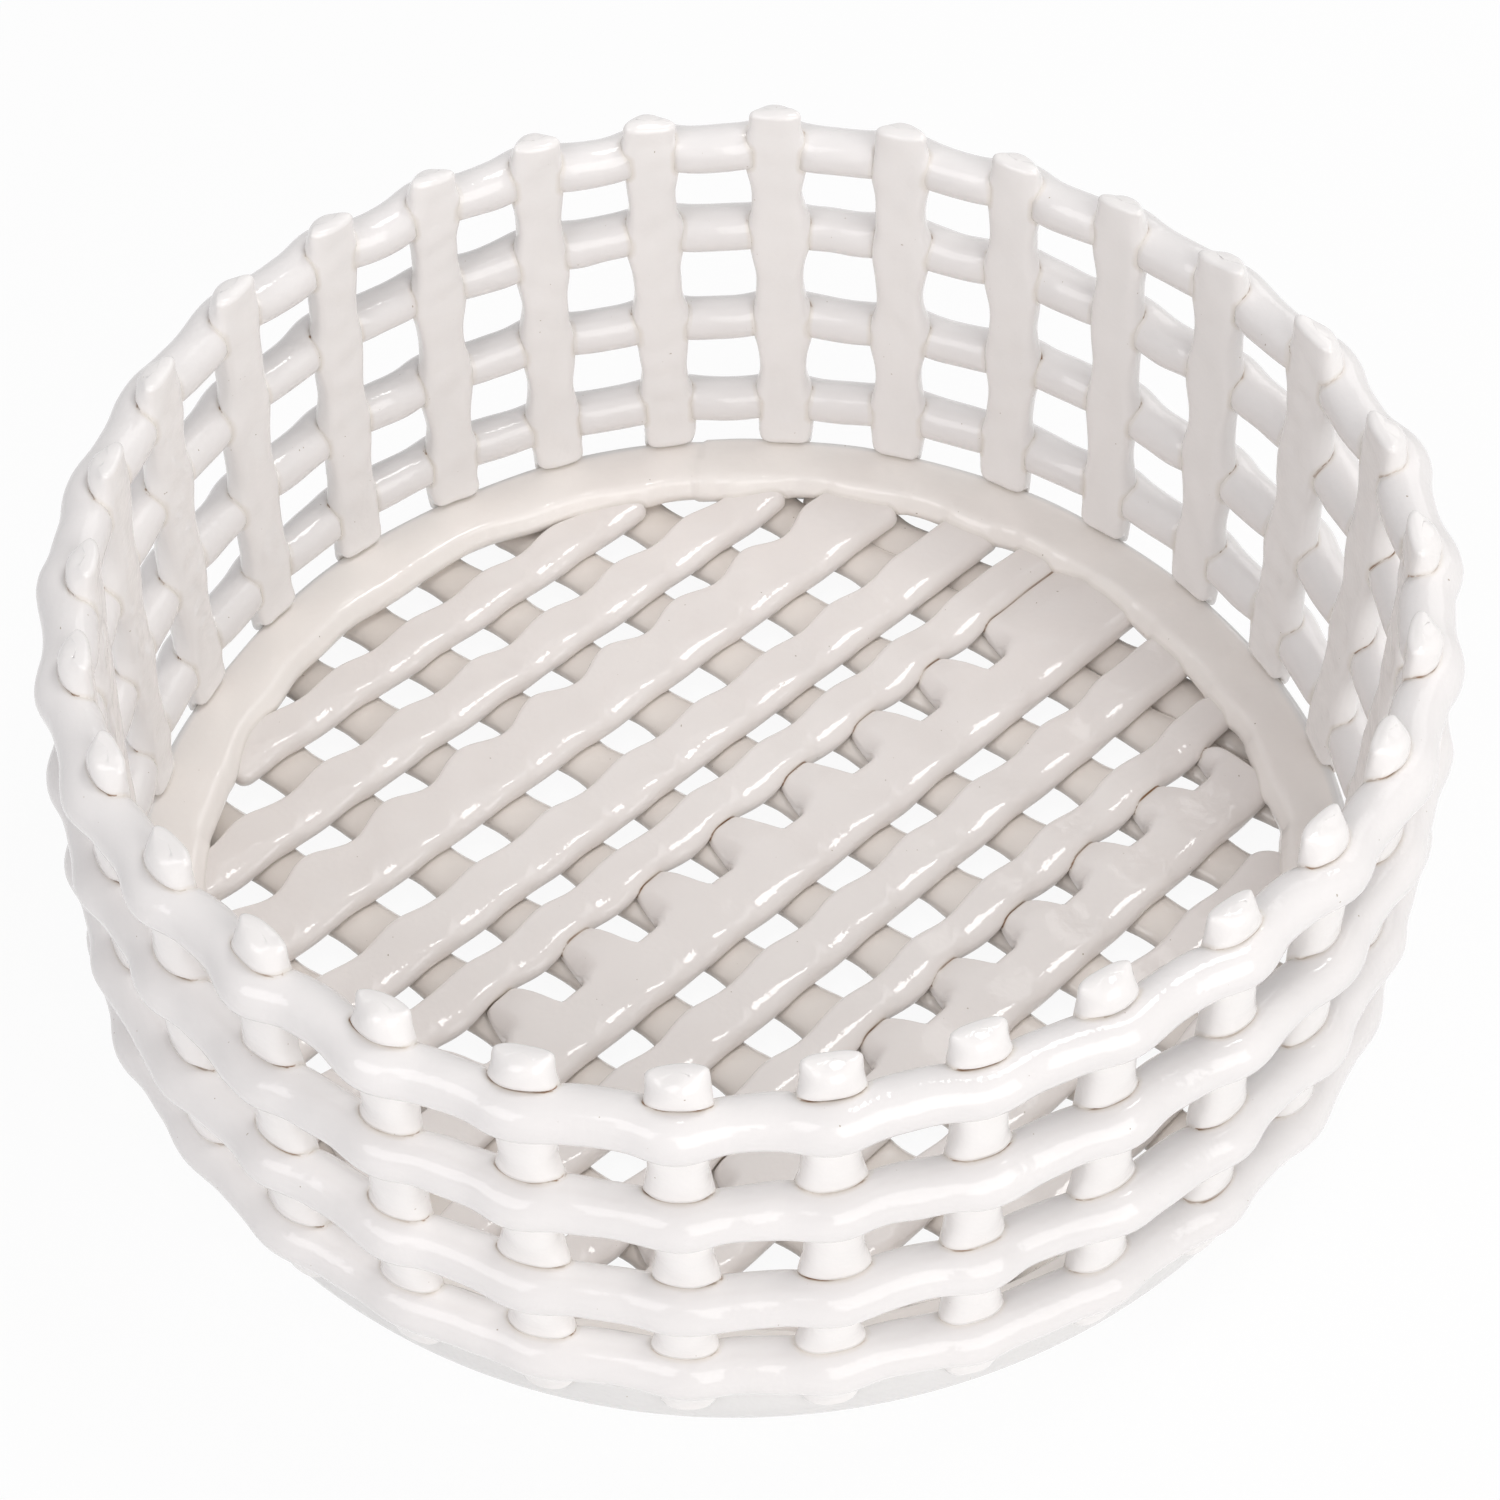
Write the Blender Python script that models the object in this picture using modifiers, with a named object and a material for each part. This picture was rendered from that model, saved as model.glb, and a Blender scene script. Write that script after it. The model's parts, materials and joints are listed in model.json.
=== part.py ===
# Open lattice basket in white glazed ceramic: a round wall of upright staves with
# four wavy rings round it, on a base ring that holds a floor of crossed strips.
# Metres, +Z up. The origin is the middle of the face that the basket stands on.

import math

import bmesh
import bpy

# ---- wall ----
wall_radius = 0.1338        # to the inner faces of the staves, where they stand
wall_lean = 0.0019          # how far their tops lean inward
stave_count = 30
stave_ring_width = 0.0128   # along the wall, where a ring is pressed on
stave_ring_depth = 0.0044   # through the wall, where a ring is pressed on
stave_free_width = 0.0104   # halfway between two rings
stave_free_depth = 0.0076
stave_knob_width = 0.0114   # just below the cut top
stave_knob_depth = 0.0080
stave_foot_width = 0.0116
stave_foot_depth = 0.0042
stave_press = 0.0028        # half the height of the flat that a ring leaves
stave_end_round = 0.0012    # rounding of the cut top
first_stave_angle = 84.9    # degrees, seen from above, from +X

# ---- rings round the wall ----
ring_count = 4
ring_height = 0.0110        # a ring is a round coil, a little flattened against the staves
ring_depth = 0.0086
ring_pitch = 0.0266         # from one ring up to the next
lowest_ring_height = 0.0128  # middle of the lowest ring, above the top of the base ring
stave_knob = 0.0123         # stave end above the middle of the top ring
ring_wave = 0.0029          # how far a ring falls back between two staves
ring_flat = 0.0094          # length that lies straight across a stave

# ---- base ring ----
base_ledge = 0.0037         # of the base ring outside the staves' inner faces
base_flange = 0.0034        # thickness of the lip that lies on the floor strips
base_lip_width = 0.0157     # from the outside to the inner edge of the lip
base_rim = 0.0070           # thickness of the outer rim that stands on the table
base_edge_round = 0.0010    # upper outer edge
base_foot_round = 0.0038    # lower outer edge
base_segments = 60

# ---- floor ----
strip_thickness = 0.0046
strip_width = 0.0118
wide_strip_width = 0.0152
wide_strip_every = 3
strip_waist = 0.86          # size between two crossings, as a share of the full section
tongue_gaps = (0.0034, 0.0008, 0.0012)  # left beyond the tongues of each wide strip
strip_pitch = 0.0214
strip_bow = 0.0043          # the middle strips lie this far off an even pitch
strip_angle = 43.0          # degrees, direction of the first strip
strip_fan = 0.30            # degrees that each strip turns from the one before
coil_thickness = 0.0046
coil_width = 0.0115
coil_pitch = 0.0230
coil_offset = 0.0070        # of the middle coil from the centre
coil_angle = -40.3          # degrees, direction of the coils under the strips
shortest_coil = 0.110       # a coil near the rim that would be shorter is left out
coil_clearance = 0.0018     # under the coils, above the table

seat_gap = 0.0003           # between pieces that touch

glaze_tones = {
    "stave": (0.83, 0.82, 0.80),
    "wall_ring": (0.86, 0.85, 0.84),
    "base_ring": (0.80, 0.77, 0.74),
    "floor_strip": (0.78, 0.75, 0.72),
    "floor_coil": (0.66, 0.62, 0.57),
}
glaze_roughness = 0.16

# ---- what follows from the sizes above ----
base_radius = wall_radius + base_ledge
rim_inside = base_radius - base_rim
floor_reach = rim_inside - seat_gap
strip_bottom = coil_clearance + coil_thickness + seat_gap
flange_bottom = strip_bottom + strip_thickness + seat_gap
base_height = flange_bottom + base_flange
wall_bottom = base_height + seat_gap
ring_heights = [
    base_height + lowest_ring_height + i * ring_pitch for i in range(ring_count)
]
wall_top = ring_heights[-1] + stave_knob
stave_lean = math.atan2(wall_lean, wall_top - wall_bottom)
stave_length = (wall_top - wall_bottom) / math.cos(stave_lean)
stave_step = math.tau / stave_count


def clear_scene():
    for obj in list(bpy.data.objects):
        bpy.data.objects.remove(obj, do_unlink=True)


def make_collection(name):
    collection = bpy.data.collections.new(name)
    bpy.context.scene.collection.children.link(collection)
    return collection


def make_glaze(name):
    glaze = bpy.data.materials.new(name + "_glaze")
    glaze.use_nodes = True
    shader = glaze.node_tree.nodes["Principled BSDF"]
    shader.inputs["Base Color"].default_value = (*glaze_tones[name], 1.0)
    shader.inputs["Roughness"].default_value = glaze_roughness
    shader.inputs["Metallic"].default_value = 0.0
    glaze.diffuse_color = (*glaze_tones[name], 1.0)
    return glaze


def outline_curve(name, points):
    """A closed flat outline, swept by other curves and left out of the model."""
    curve = bpy.data.curves.new(name, "CURVE")
    curve.dimensions = "2D"
    curve.fill_mode = "NONE"
    spline = curve.splines.new("POLY")
    spline.points.add(len(points) - 1)
    for point, (x, y) in zip(spline.points, reversed(points)):
        point.co = (x, y, 0.0, 1.0)
    spline.use_cyclic_u = True
    outline = bpy.data.objects.new(name, curve)
    outline.hide_render = True
    outline.display_type = "WIRE"
    guides.objects.link(outline)
    return outline


def swept_bar(name, stations, outline, glaze):
    """A straight bar along its own X axis; stations are (distance, share of full size)."""
    curve = bpy.data.curves.new(name, "CURVE")
    curve.dimensions = "3D"
    curve.twist_mode = "Z_UP"
    curve.bevel_mode = "OBJECT"
    curve.bevel_object = outline
    curve.use_fill_caps = True
    spline = curve.splines.new("POLY")
    spline.points.add(len(stations) - 1)
    for point, (distance, share) in zip(spline.points, stations):
        point.co = (distance, 0.0, 0.0, 1.0)
        point.radius = share
    curve.materials.append(glaze)
    return curve


def lofted_mesh(name, sections, glaze):
    """Skin over closed sections of equal point counts, one after another, with flat ends."""
    mesh = bpy.data.meshes.new(name)
    build = bmesh.new()
    rows = [[build.verts.new(point) for point in section] for section in sections]
    for row, following in zip(rows, rows[1:]):
        for i in range(len(row)):
            j = (i + 1) % len(row)
            build.faces.new((row[i], row[j], following[j], following[i]))
    build.faces.new(reversed(rows[0]))
    build.faces.new(rows[-1])
    bmesh.ops.recalc_face_normals(build, faces=build.faces)
    build.to_mesh(mesh)
    build.free()
    mesh.shade_smooth()
    mesh.set_sharp_from_angle(angle=math.radians(50))
    mesh.materials.append(glaze)
    return mesh


def place(name, data, location, rotation):
    piece = bpy.data.objects.new(name, data)
    piece.location = location
    piece.rotation_euler = rotation
    basket.objects.link(piece)
    return piece


# ---- staves ----

# Half of the D section as (share of the depth from the inner face, share of the width).
stave_half_outline = [(0.0, 0.42), (0.34, 0.50), (1.0, 0.24)]


def stave_section(height, width, depth, inset=0.0):
    """D section with its flat side inward; an inset draws it in all round."""
    right = [
        (
            inset + share * (depth - 2 * inset),
            side * (width - 2 * inset),
            height,
        )
        for share, side in stave_half_outline
    ]
    return right + [(x, -y, z) for x, y, z in reversed(right)]


def stave_sections():
    """Wide and thin where a ring is pressed on, narrow and deep between rings."""
    along = 1.0 / math.cos(stave_lean)
    crossings = [(height - wall_bottom) * along for height in ring_heights]
    free = (stave_free_width, stave_free_depth)
    pressed = (stave_ring_width, stave_ring_depth)
    knob = (stave_knob_width, stave_knob_depth)
    sections = [stave_section(0.0, stave_foot_width, stave_foot_depth)]
    for i, height in enumerate(crossings):
        if i:
            sections.append(stave_section((height + crossings[i - 1]) / 2, *free))
        sections.append(stave_section(height - stave_press, *pressed))
        sections.append(stave_section(height + stave_press, *pressed))
    knob_start = (crossings[-1] + stave_press + stave_length - stave_end_round) / 2
    sections.append(stave_section(knob_start, *knob))
    sections.append(stave_section(stave_length - stave_end_round, *knob))
    sections.append(stave_section(stave_length, *knob, inset=stave_end_round))
    return sections


def stave_angle(index):
    return math.radians(first_stave_angle) - index * stave_step


def make_staves():
    stave = lofted_mesh("stave", stave_sections(), make_glaze("stave"))
    for i in range(stave_count):
        angle = stave_angle(i)
        foot = (wall_radius * math.cos(angle), wall_radius * math.sin(angle))
        place(f"stave_{i + 1:02d}", stave, (*foot, wall_bottom), (0.0, -stave_lean, angle))


# ---- wavy rings ----

ring_sides = 8


def ring_outline():
    """Upright oval with its flats exactly ring_depth and ring_height apart."""
    reach = 1.0 / math.cos(math.pi / ring_sides)
    turns = [(i + 0.5) * math.tau / ring_sides for i in range(ring_sides)]
    return [
        (reach * ring_depth / 2 * math.cos(turn), reach * ring_height / 2 * math.sin(turn))
        for turn in turns
    ]


def ring_crest_radius(height):
    """Middle of a ring where it lies across the staves at this height."""
    risen = (height - wall_bottom) / (wall_top - wall_bottom)
    face = wall_radius - risen * wall_lean
    return face + stave_ring_depth + seat_gap + ring_depth / 2


def ring_points(crest):
    """Points of one ring: straight across each stave, then back and out again."""
    half_flat = math.atan2(ring_flat / 2, crest)
    for i in range(stave_count):
        angle = stave_angle(i)
        for turn, radius in (
            (half_flat, crest / math.cos(half_flat)),
            (-half_flat, crest / math.cos(half_flat)),
            (-stave_step / 2, crest - ring_wave),
        ):
            yield radius * math.cos(angle + turn), radius * math.sin(angle + turn)


def make_rings():
    glaze = make_glaze("wall_ring")
    outline = outline_curve("ring_outline", ring_outline())
    for number, height in enumerate(reversed(ring_heights), 1):
        route = list(ring_points(ring_crest_radius(height)))
        curve = bpy.data.curves.new(f"wall_ring_{number}", "CURVE")
        curve.dimensions = "3D"
        curve.twist_mode = "Z_UP"
        curve.bevel_mode = "OBJECT"
        curve.bevel_object = outline
        spline = curve.splines.new("POLY")
        spline.points.add(len(route) - 1)
        spline.use_cyclic_u = True
        for point, (x, y) in zip(spline.points, route):
            point.co = (x, y, 0.0, 1.0)
        curve.materials.append(glaze)
        place(f"wall_ring_{number}", curve, (0.0, 0.0, height), (0.0, 0.0, 0.0))


# ---- base ring ----


def rounded_corner(radius, height, fillet, first_turn):
    """Three points round a corner of the section, from its centre and a quarter turn."""
    turns = [first_turn - i * math.pi / 4 for i in range(3)]
    return [(radius + fillet * math.cos(t), height + fillet * math.sin(t)) for t in turns]


def base_section():
    """L section: a lip that lies on the strip ends and an outer rim on the table."""
    lip_edge = base_radius - base_lip_width
    top, foot = base_edge_round, base_foot_round
    return [
        (lip_edge + top, base_height),
        *rounded_corner(base_radius - top, base_height - top, top, math.pi / 2),
        *rounded_corner(base_radius - foot, foot, foot, 0.0),
        (rim_inside, 0.0),
        (rim_inside, flange_bottom),
        (lip_edge, flange_bottom),
        (lip_edge, base_height - top),
    ]


def make_base_ring():
    section = base_section()
    mesh = bpy.data.meshes.new("base_ring")
    edges = [(i, (i + 1) % len(section)) for i in range(len(section))]
    mesh.from_pydata([(r, 0.0, z) for r, z in section], edges, [])
    mesh.materials.append(make_glaze("base_ring"))
    ring = place("base_ring", mesh, (0.0, 0.0, 0.0), (0.0, 0.0, 0.0))
    turn = ring.modifiers.new("turn", "SCREW")
    turn.steps = base_segments
    turn.render_steps = base_segments
    turn.use_merge_vertices = True
    turn.merge_threshold = 0.00001
    turn.use_smooth_shade = True


# ---- floor ----


# Half of a flattened round section as (share of the half width, share of the thickness).
bar_half_outline = [(0.80, 0.0), (1.0, 0.45), (0.84, 1.0)]


def bar_outline(width, thickness):
    """Flattened round section standing on its lower side."""
    right = [(share * width / 2, height * thickness) for share, height in bar_half_outline]
    return right + [(-x, y) for x, y in reversed(right)]


def chord(point, angle, width):
    """Middle, half length of a bar that runs through a point and ends at the rim."""
    along = (math.cos(angle), math.sin(angle))
    travel = point[0] * along[0] + point[1] * along[1]
    middle = (point[0] - travel * along[0], point[1] - travel * along[1])
    outer_edge = math.hypot(*middle) + width / 2
    half = math.sqrt(max(floor_reach**2 - outer_edge**2, 0.0))
    return middle, half


def coil_lines():
    """(point, angle) of each lower coil that reaches from rim to rim."""
    angle = math.radians(coil_angle)
    across = (-math.sin(angle), math.cos(angle))
    most = math.sqrt(floor_reach**2 - (shortest_coil / 2) ** 2) - coil_width / 2
    first = math.ceil((-most - coil_offset) / coil_pitch)
    last = math.floor((most - coil_offset) / coil_pitch)
    offsets = [coil_offset + i * coil_pitch for i in range(first, last + 1)]
    return [((d * across[0], d * across[1]), angle) for d in offsets]


def strip_lines():
    """(point, angle, width) of each strip, from the far side to the near side."""
    first_angle = math.radians(strip_angle)
    across = (-math.sin(first_angle), math.cos(first_angle))
    half_count = math.floor((floor_reach - wide_strip_width) / strip_pitch)
    lines = []
    for i in range(2 * half_count + 1):
        even = (half_count - i) * strip_pitch
        offset = even - strip_bow * math.cos(math.pi / 2 * even / floor_reach)
        angle = first_angle + math.radians(strip_fan) * i
        wide = i % wide_strip_every == wide_strip_every - 1
        width = wide_strip_width if wide else strip_width
        lines.append(((offset * across[0], offset * across[1]), angle, width))
    return lines


def crossing(middle, angle, other_point, other_angle):
    """Distance along a line from its middle to where another line crosses it."""
    dx = other_point[0] - middle[0]
    dy = other_point[1] - middle[1]
    turn = math.sin(other_angle - angle)
    return (dx * math.sin(other_angle) - dy * math.cos(other_angle)) / turn


def coils_under(middle, half, angle, coils):
    """Distances along a strip at which it crosses a coil, clear of its two ends."""
    found = (crossing(middle, angle, *coil) for coil in coils)
    return sorted(distance for distance in found if abs(distance) < half - coil_width / 2)


def strip_stations(half, over):
    """Full width over each coil, slimmer between coils."""
    stations = [(-half, strip_waist)]
    for i, distance in enumerate(over):
        if i:
            stations.append(((distance + over[i - 1]) / 2, strip_waist))
        stations.append((distance, 1.0))
    stations.append((half, strip_waist))
    return stations


# A tongue of a wide strip as (share of the coil pitch past a coil, share of its reach).
tongue_outline = [(-0.32, 0.0), (0.06, 1.0), (0.34, 1.0), (0.60, 0.0)]


def tongue_section(distance, width, far):
    """Section of a wide strip whose far edge lies at its own distance from the middle line."""
    near = [(distance, -share * width / 2, z * strip_thickness) for share, z in bar_half_outline]
    beyond = [
        (distance, far - (1.0 - share) * width / 2, z * strip_thickness)
        for share, z in reversed(bar_half_outline)
    ]
    return near + beyond


def tongue_sections(middle, half, angle, width, over, beyond, gap):
    """A wide strip that spreads over each coil in a tongue towards the strip beyond it."""
    beyond_point, beyond_angle, beyond_width = beyond
    dx, dy = beyond_point[0] - middle[0], beyond_point[1] - middle[1]
    apart = math.cos(angle) * dy - math.sin(angle) * dx
    fan = math.tan(beyond_angle - angle)
    travel = math.cos(angle) * dx + math.sin(angle) * dy
    sections = [tongue_section(-half, width, width / 2)]
    for coil in over:
        for share, reach in tongue_outline:
            distance = coil + share * coil_pitch
            if abs(distance) > half - coil_width / 2:
                continue
            limit = apart + (distance - travel) * fan - beyond_width / 2 - gap
            far = width / 2 + reach * max(limit - width / 2, 0.0)
            sections.append(tongue_section(distance, width, far))
    sections.append(tongue_section(half, width, width / 2))
    return sections


def make_floor():
    coils = coil_lines()
    coil_glaze = make_glaze("floor_coil")
    coil_section = outline_curve("coil_outline", bar_outline(coil_width, coil_thickness))
    for i, (point, angle) in enumerate(coils, 1):
        middle, half = chord(point, angle, coil_width)
        name = f"floor_coil_{i:02d}"
        bar = swept_bar(name, [(-half, 1.0), (half, 1.0)], coil_section, coil_glaze)
        place(name, bar, (*middle, coil_clearance), (0.0, 0.0, angle))

    strip_glaze = make_glaze("floor_strip")
    strip_sections = {
        width: outline_curve(name, bar_outline(width, strip_thickness))
        for name, width in (
            ("strip_outline", strip_width),
            ("wide_strip_outline", wide_strip_width),
        )
    }
    strips = strip_lines()
    wide_done = 0
    for i, (point, angle, width) in enumerate(strips):
        middle, half = chord(point, angle, width)
        name = f"floor_strip_{i + 1:02d}"
        over = coils_under(middle, half, angle, coils)
        if i and i % wide_strip_every == wide_strip_every - 1:
            gap = tongue_gaps[wide_done % len(tongue_gaps)]
            wide_done += 1
            sections = tongue_sections(middle, half, angle, width, over, strips[i - 1], gap)
            bar = lofted_mesh(name, sections, strip_glaze)
        else:
            bar = swept_bar(name, strip_stations(half, over), strip_sections[width], strip_glaze)
        place(name, bar, (*middle, strip_bottom), (0.0, 0.0, angle))


clear_scene()
basket = make_collection("lattice_basket")
guides = make_collection("outlines")
make_staves()
make_rings()
make_base_ring()
make_floor()
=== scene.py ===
# Open lattice basket in white glazed ceramic: clay surfaces, glaze, light and camera.
import json
import math

import bpy
import numpy as np
from mathutils import Matrix, Vector
from mathutils.bvhtree import BVHTree

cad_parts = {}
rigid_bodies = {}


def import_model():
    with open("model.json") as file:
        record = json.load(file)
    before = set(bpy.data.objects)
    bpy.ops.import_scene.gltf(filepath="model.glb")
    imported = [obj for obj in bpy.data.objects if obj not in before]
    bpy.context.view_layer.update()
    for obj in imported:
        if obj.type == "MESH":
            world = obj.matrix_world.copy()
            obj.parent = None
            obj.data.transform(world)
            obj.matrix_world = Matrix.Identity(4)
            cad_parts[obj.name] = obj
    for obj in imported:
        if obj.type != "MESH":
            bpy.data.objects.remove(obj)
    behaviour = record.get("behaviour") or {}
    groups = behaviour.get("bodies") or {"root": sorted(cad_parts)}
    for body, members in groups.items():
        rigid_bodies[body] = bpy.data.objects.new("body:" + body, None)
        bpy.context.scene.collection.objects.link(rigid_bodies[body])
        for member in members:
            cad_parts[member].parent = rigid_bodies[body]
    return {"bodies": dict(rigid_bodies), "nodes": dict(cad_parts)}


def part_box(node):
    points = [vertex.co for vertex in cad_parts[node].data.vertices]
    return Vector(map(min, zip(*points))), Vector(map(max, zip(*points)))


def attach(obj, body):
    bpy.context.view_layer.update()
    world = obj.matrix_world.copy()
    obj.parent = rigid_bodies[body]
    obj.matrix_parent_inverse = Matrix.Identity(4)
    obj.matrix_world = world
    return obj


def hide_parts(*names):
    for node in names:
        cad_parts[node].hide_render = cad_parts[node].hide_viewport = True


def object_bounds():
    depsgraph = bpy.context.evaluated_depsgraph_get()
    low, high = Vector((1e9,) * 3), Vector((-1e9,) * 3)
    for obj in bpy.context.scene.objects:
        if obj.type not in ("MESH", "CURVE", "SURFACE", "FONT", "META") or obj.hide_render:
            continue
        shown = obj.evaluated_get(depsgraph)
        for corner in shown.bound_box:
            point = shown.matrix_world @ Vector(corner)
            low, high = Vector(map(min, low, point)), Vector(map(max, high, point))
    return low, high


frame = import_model()
cadBox = [list(corner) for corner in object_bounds()]
mm = 0.001
bodyName = next(iter(frame["bodies"]))


def nodesNamed(start):
    return sorted(name for name in frame["nodes"] if name.startswith(start))


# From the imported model: radii, heights and the line of every bar. The first ring is the top one.
baseLow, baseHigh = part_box("base_ring")
baseRadius = (baseHigh.x - baseLow.x) / 2
baseTop = baseHigh.z
wallTop = cadBox[1][2]
ringNodes = nodesNamed("wall_ring")
staveNodes = nodesNamed("stave")
stripNodes = nodesNamed("floor_strip")
coilNodes = nodesNamed("floor_coil")
ringLow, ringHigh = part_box(ringNodes[0])
ringTube = (ringHigh.z - ringLow.z) / 2
ringHeights = [(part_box(name)[0].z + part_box(name)[1].z) / 2 for name in ringNodes]
staveStep = math.tau / len(staveNodes)


def nodePoints(name):
    mesh = frame["nodes"][name].data
    points = np.empty(len(mesh.vertices) * 3)
    mesh.vertices.foreach_get("co", points)
    return points.reshape(-1, 3)


def staveAngle(name):
    x, y = nodePoints(name)[:, :2].mean(0)
    return math.atan2(y, x)


def sideways(direction):
    # a flat direction, turned a quarter to the left
    return np.array([-direction[1], direction[0]])


def barLine(name, byEdge=False):
    # middle, direction and half length of a straight bar that lies flat, or of its near edge
    points = nodePoints(name)[:, :2]
    kept = points
    for _ in range(2 if byEdge else 1):
        middle = kept.mean(0)
        direction = np.linalg.svd(kept - middle, full_matrices=False)[2][0]
        direction = direction * (1.0 if direction[0] > 0 else -1.0)
        across = (points - middle) @ sideways(direction)
        kept = points[across < across.min() + 2.5 * mm]  # those along the near edge
    if byEdge:
        middle = middle + across.min() * sideways(direction)
    reach = (points - middle) @ direction
    middle = middle + direction * (reach.max() + reach.min()) / 2
    return middle, direction, (reach.max() - reach.min()) / 2


def innerFaceRadii(name):
    # how far a stave's inner face is from the middle, at its foot and at its top
    points = nodePoints(name)
    angle = staveAngle(name)
    reach = points[:, 0] * math.cos(angle) + points[:, 1] * math.sin(angle)
    low = reach[points[:, 2] < baseTop + 4 * mm].min()
    high = reach[points[:, 2] > wallTop - 4 * mm].min()
    return low, high


staveAngles = [staveAngle(name) for name in staveNodes]
faceRadii = np.mean([innerFaceRadii(name) for name in staveNodes], axis=0)
coilLines = [barLine(name) for name in coilNodes]
stripLines = [barLine(name, byEdge=True) for name in stripNodes]
print("model read:", len(frame["nodes"]), "nodes")


def smoothStep(low, high, value):
    share = np.clip((value - low) / (high - low), 0.0, 1.0)
    return share * share * (3.0 - 2.0 * share)


def between(pair, share):
    return pair[0] + (pair[1] - pair[0]) * share


def softNoise(points, size, seed, count=12):
    # about -1 to 1: waves that run in many directions
    random = np.random.default_rng(seed)
    runs = random.normal(size=(count, 3))
    lengths = np.linalg.norm(runs, axis=1)
    runs *= (random.uniform(0.7, 1.3, count) * math.tau / size / lengths)[:, None]
    starts = random.uniform(0.0, math.tau, count)
    return np.sin(np.asarray(points) @ runs.T + starts).sum(-1) / math.sqrt(1.6 * count)


def uneven(lumps, points, seed):
    # lumps says how far something strays, and over what distance
    return lumps[0] * softNoise(points, lumps[1], seed)


def wobble(lumps, distance, seed):
    # the same along one line
    places = np.zeros(np.shape(distance) + (3,))
    places[..., 0] = distance
    return lumps[0] * softNoise(places, lumps[1], seed, 6)


def unit(directions):
    return directions / np.linalg.norm(directions, axis=-1)[..., None]


def roundAbout(radius, angle, z):
    # points at a distance and an angle from the middle of the basket
    return np.stack(np.broadcast_arrays(radius * np.cos(angle), radius * np.sin(angle), z), -1)


def superCurve(turn, power):
    # 1 is an ellipse; less is squarer
    return np.sign(turn) * np.abs(turn) ** power


def evenLoop(points, count):
    # a closed outline with its points spaced evenly
    closed = np.vstack([points, points[:1]])
    travel = np.concatenate([[0.0], np.cumsum(np.hypot(*np.diff(closed, axis=0).T))])
    wanted = np.linspace(0.0, travel[-1], count, endpoint=False)
    return np.stack([np.interp(wanted, travel, closed[:, i]) for i in (0, 1)], 1)


def cutCorners(points, passes):
    # rounds a closed outline by cutting its corners again and again
    for _ in range(passes):
        ahead = np.roll(points, -1, axis=0)
        points = np.stack([0.75 * points + 0.25 * ahead, 0.25 * points + 0.75 * ahead], 1)
        points = points.reshape(-1, points.shape[-1])
    return points


def roundedStations(start, end, spacing, rounding):
    # places along a bar and how far the section is drawn in at each, for soft ends
    turn = np.linspace(0.0, math.pi / 2, 6)[:-1]
    tip = rounding * (1.0 - np.cos(turn))
    drawn = rounding * (1.0 - np.sin(turn))
    count = max(int(round((end - start - 2 * rounding) / spacing)), 2)
    body = np.linspace(start + rounding, end - rounding, count)
    places = np.concatenate([start + tip, body, (end - tip)[::-1]])
    return places, np.concatenate([drawn, np.zeros(count), drawn[::-1]])


rim = {  # bent by hand: the rim is a little out of round and the staves stand unevenly
    "low": 0.15,          # share of this that is left at the foot
    "belly": 1.3 * mm,    # the wall stands out this much halfway up
    # waves round the rim: how many, how far, and the degrees from the right where one peaks
    "bulge": [
        (1, 1.25 * mm, 3), (2, 1.1 * mm, 14), (3, 1.4 * mm, 2), (4, 0.65 * mm, -6),
        (6, 0.4 * mm, 22),
    ],
    "aside": [
        (1, 1.1 * mm, 105), (2, 1.35 * mm, 78), (3, 0.75 * mm, 56), (5, 0.8 * mm, 31),
        (6, 0.45 * mm, -19),
    ],
}


def rimWaves(waves, angle):
    return sum(far * np.cos(count * (angle - math.radians(peak))) for count, far, peak in waves)


def handBent(points):
    # moves points sideways, to the round wall's slightly uneven form
    angle = np.arctan2(points[..., 1], points[..., 0])
    radius = np.hypot(points[..., 0], points[..., 1])
    share = rim["low"] + (1.0 - rim["low"]) * smoothStep(0.0, wallTop, points[..., 2])
    radius = radius * (1.0 + share * rimWaves(rim["bulge"], angle) / baseRadius)
    angle = angle + share * rimWaves(rim["aside"], angle) / baseRadius
    return roundAbout(radius, angle, points[..., 2])


def faceRadius(z):
    # radius of the wall's inner face at a height
    share = (z - baseTop) / (wallTop - baseTop)
    belly = rim["belly"] * np.sin(math.pi * np.clip(share, 0.0, 1.0))
    return between(faceRadii, share) + belly


def domedCap(loop, below, dome):
    # ever smaller loops that fill the end of a bar, raised a little towards the middle
    centre = loop.mean(0)
    out = centre - below.mean(0)
    out = out / np.linalg.norm(out)
    shares = (0.93, 0.8, 0.64, 0.46, 0.27, 0.12)
    return np.stack([centre + (loop - centre) * s + out * (dome * (1.0 - s * s)) for s in shares])


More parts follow.
